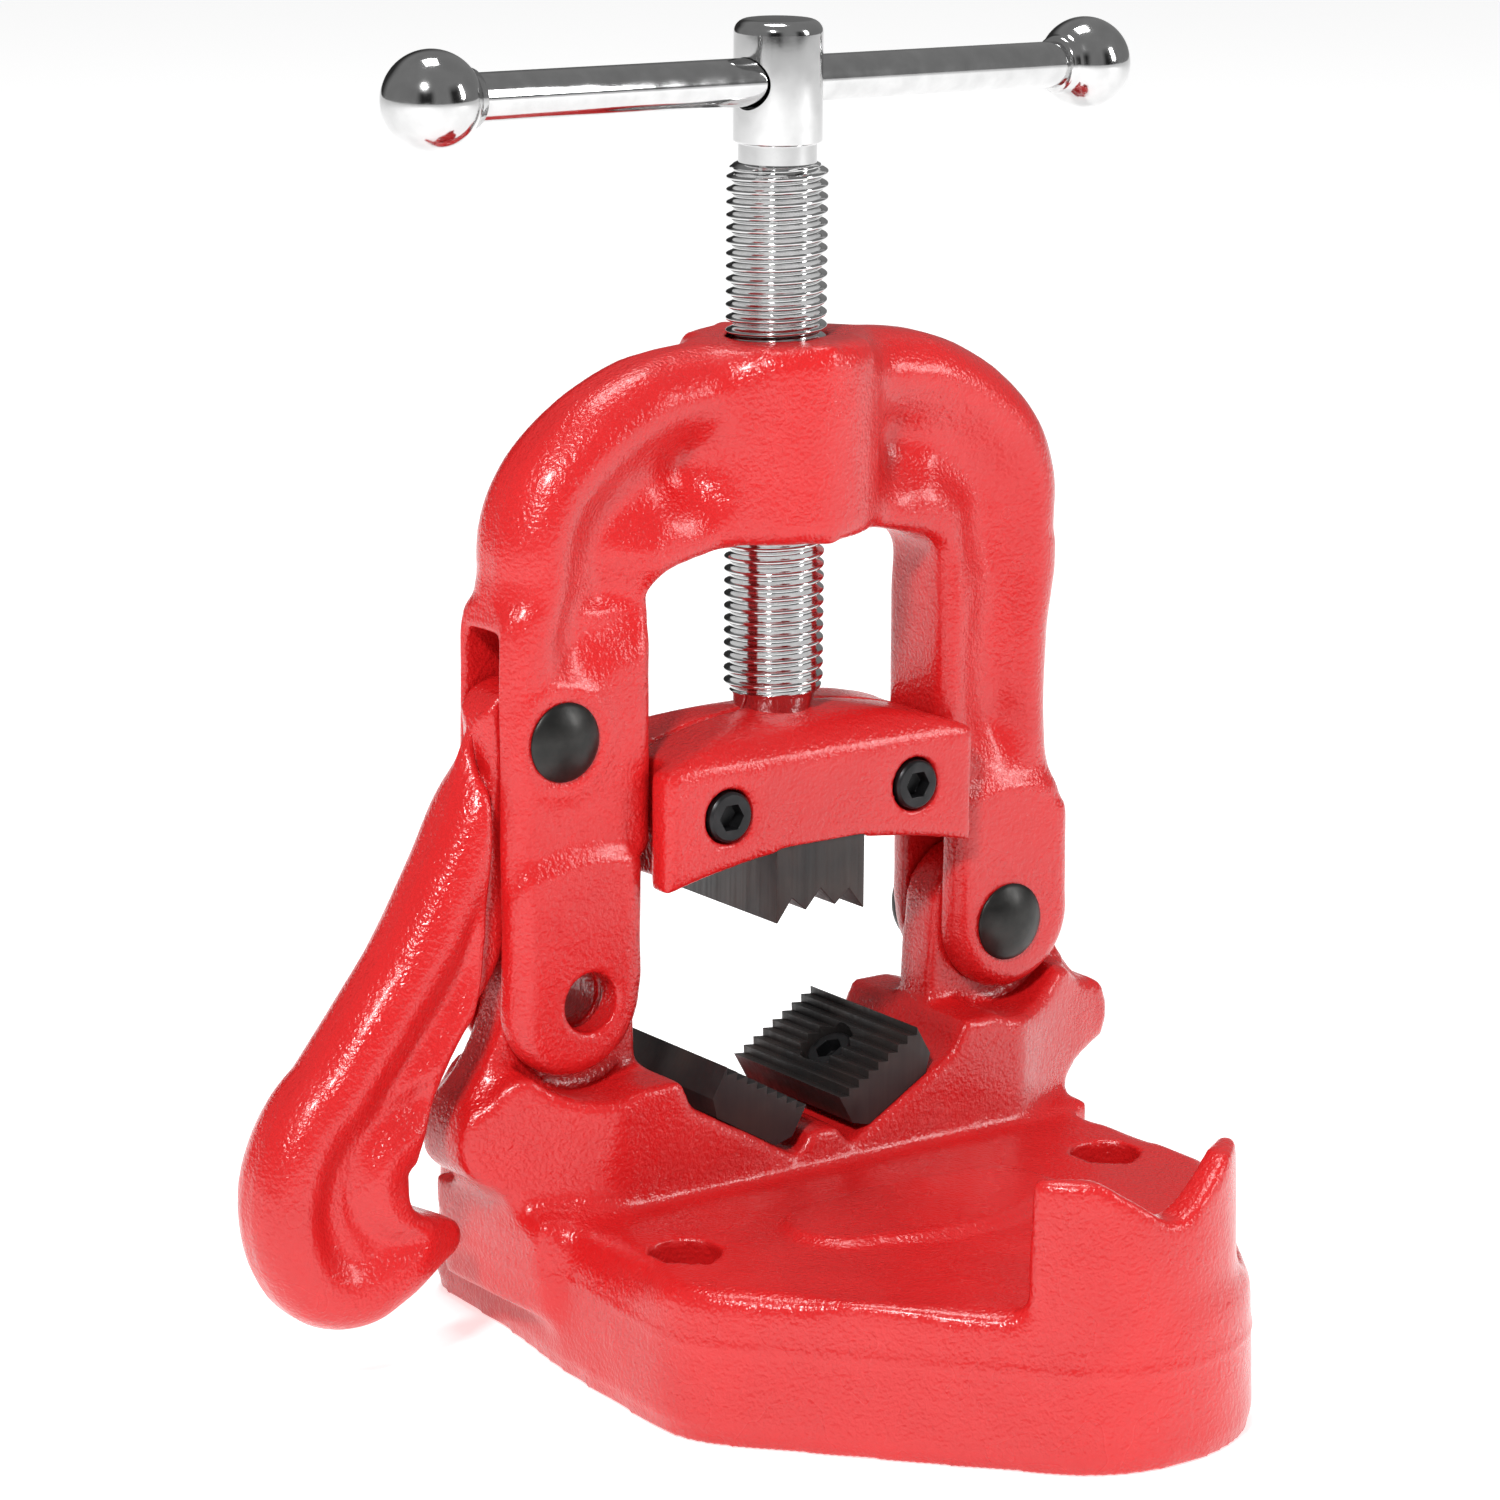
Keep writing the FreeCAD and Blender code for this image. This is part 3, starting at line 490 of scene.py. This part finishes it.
def rounded(profile, radius=0.4, steps=4):
    """The profile with its corners, apart from the ends, replaced by short curves."""
    points = [Vector(point) for point in profile]
    result = [profile[0]]
    for before, here, after in zip(points, points[1:], points[2:]):
        back, ahead = before - here, after - here
        cut = min(radius, back.length * 0.45, ahead.length * 0.45)
        start = here + back.normalized() * cut
        end = here + ahead.normalized() * cut
        for k in range(steps + 1):
            t = k / steps
            spot = start * (1 - t) ** 2 + here * 2 * t * (1 - t) + end * t * t
            result.append((max(spot.x, 0.001), spot.y))
    return result + [profile[-1]]


def cap(radius, rise, foot, steps=10):
    """Points of a spherical cap from its rim to its top, on a rim at height foot."""
    sphere = (radius**2 + rise**2) / (2 * rise)
    half_angle = math.asin(min(radius / sphere, 1.0))
    angles = [half_angle * (1 - k / steps) for k in range(steps + 1)]
    return [(sphere * math.sin(angle), foot + rise - sphere * (1 - math.cos(angle)))
            for angle in angles]


def placed(mesh, position, direction):
    """Turn the mesh's +Z to the direction and move its origin to the position."""
    turn = Vector(direction).normalized().to_track_quat("Z", "Y").to_matrix().to_4x4()
    mesh.transform(Matrix.Translation(Vector(position) * MM) @ turn)
    return mesh


def make_pin(node, centre_x, centre_z, radius, head, front, back, material):
    """A headed pin: the domed head faces -Y, the peened tail +Y."""
    profile = [(0, -back)]
    profile += [(r, -z) for r, z in reversed(cap(radius * 0.9, 0.8, back - 0.8))][1:]
    profile += [(radius, -back + 1.6), (radius, front), (head - 0.25, front),
                (head, front + 0.25), (head, front + 0.5)]
    profile += cap(head - 0.1, 2.1, front + 0.65)[:-1] + [(0, front + 2.75)]
    mesh = placed(lathe(node, profile), (centre_x, 0, centre_z), (0, -1, 0))
    return new_piece(f"{node}_turned", mesh, node, material)


def make_washer(node, centre_x, centre_z, inner, outer, start, height, material):
    """A flat washer: a ring lathe with softened edges."""
    work = bmesh.new()
    soft, steps = 0.3, 96
    corners = [(inner, 0), (outer - soft, 0), (outer, soft), (outer, height - soft),
               (outer - soft, height), (inner, height)]
    rings = [circle(work, radius, h, steps) for radius, h in corners]
    for k in range(steps):
        after = (k + 1) % steps
        for low, high in zip(rings, rings[1:] + rings[:1]):
            work.faces.new((low[k], low[after], high[after], high[k]))
    mesh = bpy.data.meshes.new(node)
    work.to_mesh(mesh)
    work.free()
    placed(mesh, (centre_x, start, centre_z), (0, 1, 0))
    return new_piece(f"{node}_turned", mesh, node, material)


# ---------------------------------------------------------------- spindle and handle

def thread_radius(phase):
    """Radius of the M20 x 2.5 form at a phase from 0 to 1: rounded crest, rounded root."""
    depth, flat = 1.45, 0.11
    slope = np.abs((phase % 1.0) * 2 - 1)
    return CREST_RADIUS - depth * smooth(slope, flat, 1 - flat)


def level_ring(radius, height, steps):
    """Rows of (radius, height) for one level ring."""
    return np.column_stack([np.full(steps, radius), np.full(steps, height)])


def make_spindle(material):
    """Collar, neck, cut thread and head, with the cross hole of the bar left in the head.

    Known fault: the neck is a cone from 5.5 mm up to the thread's start. In the CAD it is a
    cylinder up to Z 123.6, the point of `below` that the slice leaves out.
    """
    node, pitch, steps, rows = "spindle_screw", 2.5, 72, 12
    bottom, top = 108.8, 256.9
    low, high = 124.1, 229.2
    below = rounded([(0, bottom), (8, bottom), (8, 113), (5.5, 113), (5.5, 123.6)], 0.3)[:-1]
    above = [(7.7, high + 0.2), (7.7, 233.0)]
    heights = np.arange(low, high + 1e-6, pitch / rows)
    rings = [level_ring(r, h, steps) for r, h in below[1:]]
    angle = 2 * math.pi * np.arange(steps) / steps
    for height in heights:
        radius = thread_radius((height - low) / pitch - angle / (2 * math.pi))
        start, end = 8.4 + (height - low) * 0.9, 8.3 + (high - height) * 1.2
        radius = np.minimum(radius, min(start, end, CREST_RADIUS))
        rings.append(np.column_stack([radius, np.full(steps, height)]))
    rings += [level_ring(r, h, steps) for r, h in above]
    head = rounded([(7.7, 232.6), (7.7, 233.2), (8.7, 233.3), (8.7, 254.6)], 0.35)[1:-1]
    dome = [(8.7 - 2.6 * (1 - math.cos(t)), 254.3 + 2.6 * math.sin(t))
            for t in np.linspace(0, math.pi / 2, 9)]
    rings += [level_ring(r, h, steps) for r, h in head + dome]
    points = [np.column_stack([ring[:, 0] * np.cos(angle), ring[:, 0] * np.sin(angle),
                               ring[:, 1]]) for ring in rings]
    vertices = np.vstack(points + [[[0, 0, bottom], [0, 0, top]]]) * MM
    faces = []
    count = len(rings)
    for row in range(count - 1):
        for k in range(steps):
            after = (k + 1) % steps
            faces.append((row * steps + k, row * steps + after,
                          (row + 1) * steps + after, (row + 1) * steps + k))
    foot, peak = count * steps, count * steps + 1
    last = (count - 1) * steps
    for k in range(steps):
        after = (k + 1) % steps
        faces.append((foot, after, k))
        faces.append((peak, last + k, last + after))
    mesh = bpy.data.meshes.new(node)
    mesh.from_pydata([tuple(v) for v in vertices], [], faces)
    mesh.update()
    hole = lathe("bar_hole", [(0, -30), (5.1, -30), (5.1, 30), (0, 30)], 64)
    placed(hole, (0, 0, HEAD_CENTRE), (math.cos(BAR_TURN), math.sin(BAR_TURN), 0))
    cutter = bpy.data.objects.new("bar_hole", hole)
    bpy.context.scene.collection.objects.link(cutter)
    mesh = modified(mesh, [("BOOLEAN", {"operation": "DIFFERENCE", "object": cutter,
                                        "solver": "EXACT"})])
    bpy.data.objects.remove(cutter)
    piece = new_piece("spindle_turned", mesh, node, material)
    mesh.set_sharp_from_angle(angle=math.radians(50))
    return piece


def handle_direction():
    """Along the bar, towards the right ball."""
    return Vector((math.cos(BAR_TURN) * math.cos(BAR_TILT),
                   math.sin(BAR_TURN) * math.cos(BAR_TILT), -math.sin(BAR_TILT)))


def make_handle(material):
    """The bar, and a ball with a short collar at each end."""
    direction, centre = handle_direction(), Vector((0, 0, HEAD_CENTRE))
    half, radius, spigot = 88.5, 4.68, 4.0
    shoulder = half - 8.1
    bar = rounded([(0, -half - 2), (spigot, -half - 2), (spigot, -shoulder),
                   (radius, -shoulder), (radius, shoulder), (spigot, shoulder),
                   (spigot, half + 2), (0, half + 2)], 0.3)
    new_piece("handle_bar_turned", placed(lathe("bar", bar), centre, direction),
              "handle_bar", material)
    ball_radius, collar, reach = 9.4, 5.75, 9.4
    start = math.acos(collar / ball_radius)
    arc = [(ball_radius * math.cos(t), ball_radius * math.sin(t))
           for t in np.linspace(-start, math.pi / 2 - 1e-4, 40)]
    profile = [(0, -reach), (collar - 0.5, -reach), (collar, -reach + 0.5),
               (collar, -ball_radius * math.sin(start) - 0.25)] + arc[1:-1]
    profile.append((0, ball_radius))
    for side, word in ((-1, "left"), (1, "right")):
        mesh = placed(lathe(f"ball_{word}", profile), centre + direction * side * half,
                      direction * side)
        new_piece(f"handle_ball_{word}_turned", mesh, f"handle_ball_{word}", material)


# ---------------------------------------------------------------- pieces kept sharp

def make_bevelled(node, width, material, angle=28):
    """The CAD shape with its edges broken by a small bevel."""
    mesh = welded_copy(node)
    work = bmesh.new()
    work.from_mesh(mesh)
    bmesh.ops.dissolve_limit(work, angle_limit=math.radians(0.5), verts=work.verts,
                             edges=work.edges)
    work.to_mesh(mesh)
    work.free()
    settings = {"width": width * MM, "segments": 3, "limit_method": "ANGLE",
                "angle_limit": math.radians(angle), "harden_normals": False,
                "use_clamp_overlap": True}
    mesh = modified(mesh, [("BEVEL", settings), ("TRIANGULATE", {})])
    piece = new_piece(f"{node}_finished", mesh, node, material)
    mesh.set_sharp_from_angle(angle=math.radians(35))
    return piece


# ---------------------------------------------------------------- materials

def new_material(name):
    """A material with its node tree and its shader."""
    material = bpy.data.materials.new(name)
    material.use_nodes = True
    return material, material.node_tree, material.node_tree.nodes["Principled BSDF"]


def object_noise(tree, scale, detail=2.0, stretch=(1, 1, 1), kind="ShaderNodeTexNoise"):
    """A noise over the object's own coordinates, in features per metre."""
    where = tree.nodes.new("ShaderNodeTexCoord")
    mapping = tree.nodes.new("ShaderNodeMapping")
    mapping.inputs["Scale"].default_value = stretch
    texture = tree.nodes.new(kind)
    texture.inputs["Scale"].default_value = scale
    if "Detail" in texture.inputs:
        texture.inputs["Detail"].default_value = detail
    tree.links.new(where.outputs["Object"], mapping.inputs["Vector"])
    tree.links.new(mapping.outputs["Vector"], texture.inputs["Vector"])
    return texture.outputs[0]


def ramp(tree, value, stops):
    """A colour ramp of (position, colour) stops over a value."""
    node = tree.nodes.new("ShaderNodeValToRGB")
    elements = node.color_ramp.elements
    while len(elements) < len(stops):
        elements.new(0.5)
    for element, (position, colour) in zip(elements, stops):
        element.position = position
        element.color = (*colour, 1)
    tree.links.new(value, node.inputs["Fac"])
    return node.outputs["Color"]


def vary(tree, shader, socket, value, stops):
    """Run one socket of the shader from a noise, through a colour ramp."""
    tree.links.new(ramp(tree, value, stops), shader.inputs[socket])


def grey(level):
    return (level, level, level)


def add_bumps(tree, shader, layers):
    """Chain bumps of (value, strength, distance in millimetres) onto the shader's normal."""
    normal = None
    for value, strength, distance in layers:
        node = tree.nodes.new("ShaderNodeBump")
        node.inputs["Strength"].default_value = strength
        node.inputs["Distance"].default_value = distance * MM
        tree.links.new(value, node.inputs["Height"])
        if normal is not None:
            tree.links.new(normal, node.inputs["Normal"])
        normal = node.outputs["Normal"]
    tree.links.new(normal, shader.inputs["Normal"])


def red_enamel():
    """Glossy red enamel that follows a sand-cast skin."""
    material, tree, shader = new_material("red_enamel_cast")
    tone = object_noise(tree, 28.0, 3.0)
    vary(tree, shader, "Base Color", tone,
         [(0.3, (0.52, 0.008, 0.009)), (0.7, (0.60, 0.012, 0.013))])
    patch = object_noise(tree, 60.0, 2.0)
    vary(tree, shader, "Roughness", patch, [(0.35, grey(0.24)), (0.7, grey(0.33))])
    shader.inputs["Coat Weight"].default_value = 0.2
    shader.inputs["Coat Roughness"].default_value = 0.15
    peel = object_noise(tree, 520.0, 2.0)
    grain = object_noise(tree, 1300.0, 1.0)
    add_bumps(tree, shader, [(peel, 0.8, 0.24), (grain, 1.0, 0.24)])
    return material


def black_oxide():
    """Black-oxide steel with milling lines along Z and faintly brown patches."""
    material, tree, shader = new_material("black_oxide_milled")
    stain = object_noise(tree, 90.0, 3.0)
    vary(tree, shader, "Base Color", stain,
         [(0.35, (0.022, 0.021, 0.021)), (0.75, (0.046, 0.034, 0.030))])
    shader.inputs["Metallic"].default_value = 0.35
    lines = object_noise(tree, 900.0, 2.0, stretch=(1.0, 1.0, 0.04))
    vary(tree, shader, "Roughness", lines, [(0.3, grey(0.36)), (0.7, grey(0.55))])
    add_bumps(tree, shader, [(lines, 0.35, 0.05)])
    return material


def black_pin():
    """Satin black of a forged and tumbled pin head."""
    material, tree, shader = new_material("black_pin_forged")
    stain = object_noise(tree, 160.0, 3.0)
    vary(tree, shader, "Base Color", stain,
         [(0.35, (0.026, 0.026, 0.025)), (0.75, (0.048, 0.046, 0.044))])
    shader.inputs["Metallic"].default_value = 0.8
    dents = object_noise(tree, 420.0, 3.0)
    vary(tree, shader, "Roughness", dents, [(0.3, grey(0.30)), (0.75, grey(0.42))])
    add_bumps(tree, shader, [(dents, 0.4, 0.12)])
    return material


def screw_steel():
    """Black oxide on small screws, a little glossier."""
    material, tree, shader = new_material("black_screw_oxide")
    stain = object_noise(tree, 300.0, 2.0)
    vary(tree, shader, "Base Color", stain,
         [(0.4, (0.012, 0.012, 0.013)), (0.8, (0.028, 0.028, 0.030))])
    shader.inputs["Metallic"].default_value = 0.6
    vary(tree, shader, "Roughness", stain, [(0.3, grey(0.28)), (0.75, grey(0.42))])
    add_bumps(tree, shader, [(stain, 0.2, 0.05)])
    return material


def chrome():
    """Bright chrome plate with the finest turning marks."""
    material, tree, shader = new_material("chrome_plate_bright")
    shader.inputs["Metallic"].default_value = 1.0
    haze = object_noise(tree, 240.0, 3.0)
    vary(tree, shader, "Base Color", haze, [(0.3, grey(0.52)), (0.7, grey(0.60))])
    vary(tree, shader, "Roughness", haze, [(0.3, grey(0.07)), (0.75, grey(0.15))])
    marks = object_noise(tree, 2400.0, 1.0)
    add_bumps(tree, shader, [(marks, 0.05, 0.02)])
    return material


def plain_steel():
    """Turned steel of the hidden thrust washer."""
    material, tree, shader = new_material("turned_steel")
    shader.inputs["Metallic"].default_value = 1.0
    marks = object_noise(tree, 700.0, 2.0)
    vary(tree, shader, "Base Color", marks, [(0.3, grey(0.42)), (0.7, grey(0.56))])
    vary(tree, shader, "Roughness", marks, [(0.3, grey(0.28)), (0.7, grey(0.42))])
    return material


# ---------------------------------------------------------------- studio

def make_floor():
    """A wide white floor just under the part."""
    material, _, shader = new_material("studio_floor")
    shader.inputs["Base Color"].default_value = (0.8, 0.8, 0.8, 1)
    shader.inputs["Roughness"].default_value = 0.75
    shader.inputs["Emission Color"].default_value = (1, 1, 1, 1)
    shader.inputs["Emission Strength"].default_value = 0.66
    mesh = bpy.data.meshes.new("studio_floor")
    half = 7.0
    mesh.from_pydata([(-half, -half, 0), (half, -half, 0), (half, half, 0), (-half, half, 0)],
                     [], [(0, 1, 2, 3)])
    mesh.materials.append(material)
    floor = bpy.data.objects.new("studio_floor", mesh)
    floor.location.z = -0.0004
    bpy.context.scene.collection.objects.link(floor)


def area_light(name, position, target, size, power):
    """A rectangular lamp that faces the target."""
    light = bpy.data.lights.new(name, "AREA")
    light.shape = "RECTANGLE"
    light.size, light.size_y = size
    light.energy = power
    lamp = bpy.data.objects.new(name, light)
    lamp.location = position
    aim = Vector(target) - Vector(position)
    lamp.rotation_euler = aim.to_track_quat("-Z", "Y").to_euler()
    bpy.context.scene.collection.objects.link(lamp)


def make_world():
    """A white studio with two darker stretches of wall, which the chrome reflects."""
    world = bpy.data.worlds.new("studio")
    world.use_nodes = True
    tree = world.node_tree
    where = tree.nodes.new("ShaderNodeTexCoord")
    split = tree.nodes.new("ShaderNodeSeparateXYZ")
    bearing = tree.nodes.new("ShaderNodeMath")
    bearing.operation = "ARCTAN2"
    scaled = tree.nodes.new("ShaderNodeMapRange")
    scaled.inputs["From Min"].default_value = -math.pi
    scaled.inputs["From Max"].default_value = math.pi
    tree.links.new(where.outputs["Generated"], split.inputs["Vector"])
    tree.links.new(split.outputs["Y"], bearing.inputs[0])
    tree.links.new(split.outputs["X"], bearing.inputs[1])
    tree.links.new(bearing.outputs[0], scaled.inputs["Value"])
    walls = ramp(tree, scaled.outputs["Result"], [
        (0.00, grey(0.9)), (0.06, grey(0.9)), (0.10, grey(0.05)), (0.155, grey(0.05)),
        (0.19, grey(0.95)), (0.27, grey(0.95)), (0.30, grey(0.08)), (0.37, grey(0.08)),
        (0.41, grey(0.9)), (0.62, grey(0.9)), (0.68, grey(0.12)), (0.76, grey(0.12)),
        (0.82, grey(0.9)), (1.00, grey(0.9))])
    ceiling = ramp(tree, split.outputs["Z"], [(0.35, grey(0.0)), (0.6, grey(1.0))])
    mixed = tree.nodes.new("ShaderNodeMix")
    mixed.data_type = "RGBA"
    tree.links.new(ceiling, mixed.inputs["Factor"])
    tree.links.new(walls, mixed.inputs["A"])
    mixed.inputs["B"].default_value = (0.95, 0.95, 0.95, 1)
    background = tree.nodes["Background"]
    tree.links.new(mixed.outputs["Result"], background.inputs["Color"])
    background.inputs["Strength"].default_value = 0.28
    bpy.context.scene.world = world


def make_lights():
    middle = (0, 0, 0.12)
    area_light("key", (-1.3, -1.0, 1.5), middle, (0.25, 0.25), 35)
    area_light("fill", (1.2, -1.3, 0.8), middle, (0.25, 0.8), 12)
    area_light("top", (0.1, 0.3, 1.9), middle, (0.6, 0.6), 16)
    bpy.context.scene.view_settings.view_transform = "Standard"


def make_camera():
    """The photograph's view: from the left front, a little above."""
    azimuth, elevation, roll = (math.radians(a) for a in (36.17, 13.91, 0.43))
    place = (-0.58559, -0.79342, 0.35609)
    forward = Vector((math.sin(azimuth) * math.cos(elevation),
                      math.cos(azimuth) * math.cos(elevation), -math.sin(elevation)))
    right = Vector((math.cos(azimuth), -math.sin(azimuth), 0))
    up = right.cross(forward)
    right, up = (right * math.cos(roll) + up * math.sin(roll),
                 up * math.cos(roll) - right * math.sin(roll))
    camera = bpy.data.cameras.new("camera")
    camera.sensor_width = 36.0
    camera.lens = 122.38
    camera.clip_end = 50.0
    holder = bpy.data.objects.new("camera", camera)
    turn = Matrix((right, up, -forward)).transposed().to_4x4()
    holder.matrix_world = Matrix.Translation(place) @ turn
    bpy.context.scene.collection.objects.link(holder)
    bpy.context.scene.camera = holder


def make_all():
    """Every visual piece, each with its material."""
    red, oxide, pin_black = red_enamel(), black_oxide(), black_pin()
    screw, plate, steel = screw_steel(), chrome(), plain_steel()
    make_base(red)
    make_yoke(red)
    make_hook(red)
    make_carrier("front", red)
    make_carrier("rear", red)
    make_pin("hinge_pin", PIN_X, PIN_Z, radius=6.0, head=8.0, front=12.02, back=16.22,
             material=pin_black)
    make_pin("latch_pin", LATCH_X, LATCH_Z, radius=5.0, head=7.8, front=10.32, back=14.52,
             material=pin_black)
    make_washer("hinge_pin_washer", PIN_X, PIN_Z, inner=6.05, outer=10.5, start=12.02,
                height=1.8, material=pin_black)
    make_washer("latch_pin_washer", LATCH_X, LATCH_Z, inner=5.05, outer=8.75, start=10.32,
                height=1.8, material=pin_black)
    make_spindle(plate)
    make_handle(plate)
    for node in ("upper_jaw", "lower_jaw_left", "lower_jaw_right"):
        make_bevelled(node, 0.22, oxide)
    for place in ("carrier", "lower_jaw"):
        for side in ("left", "right"):
            make_bevelled(f"{place}_screw_{side}", 0.2, screw)
    make_bevelled("thrust_washer", 0.25, steel)


make_all()
make_floor()
make_world()
make_lights()
make_camera()
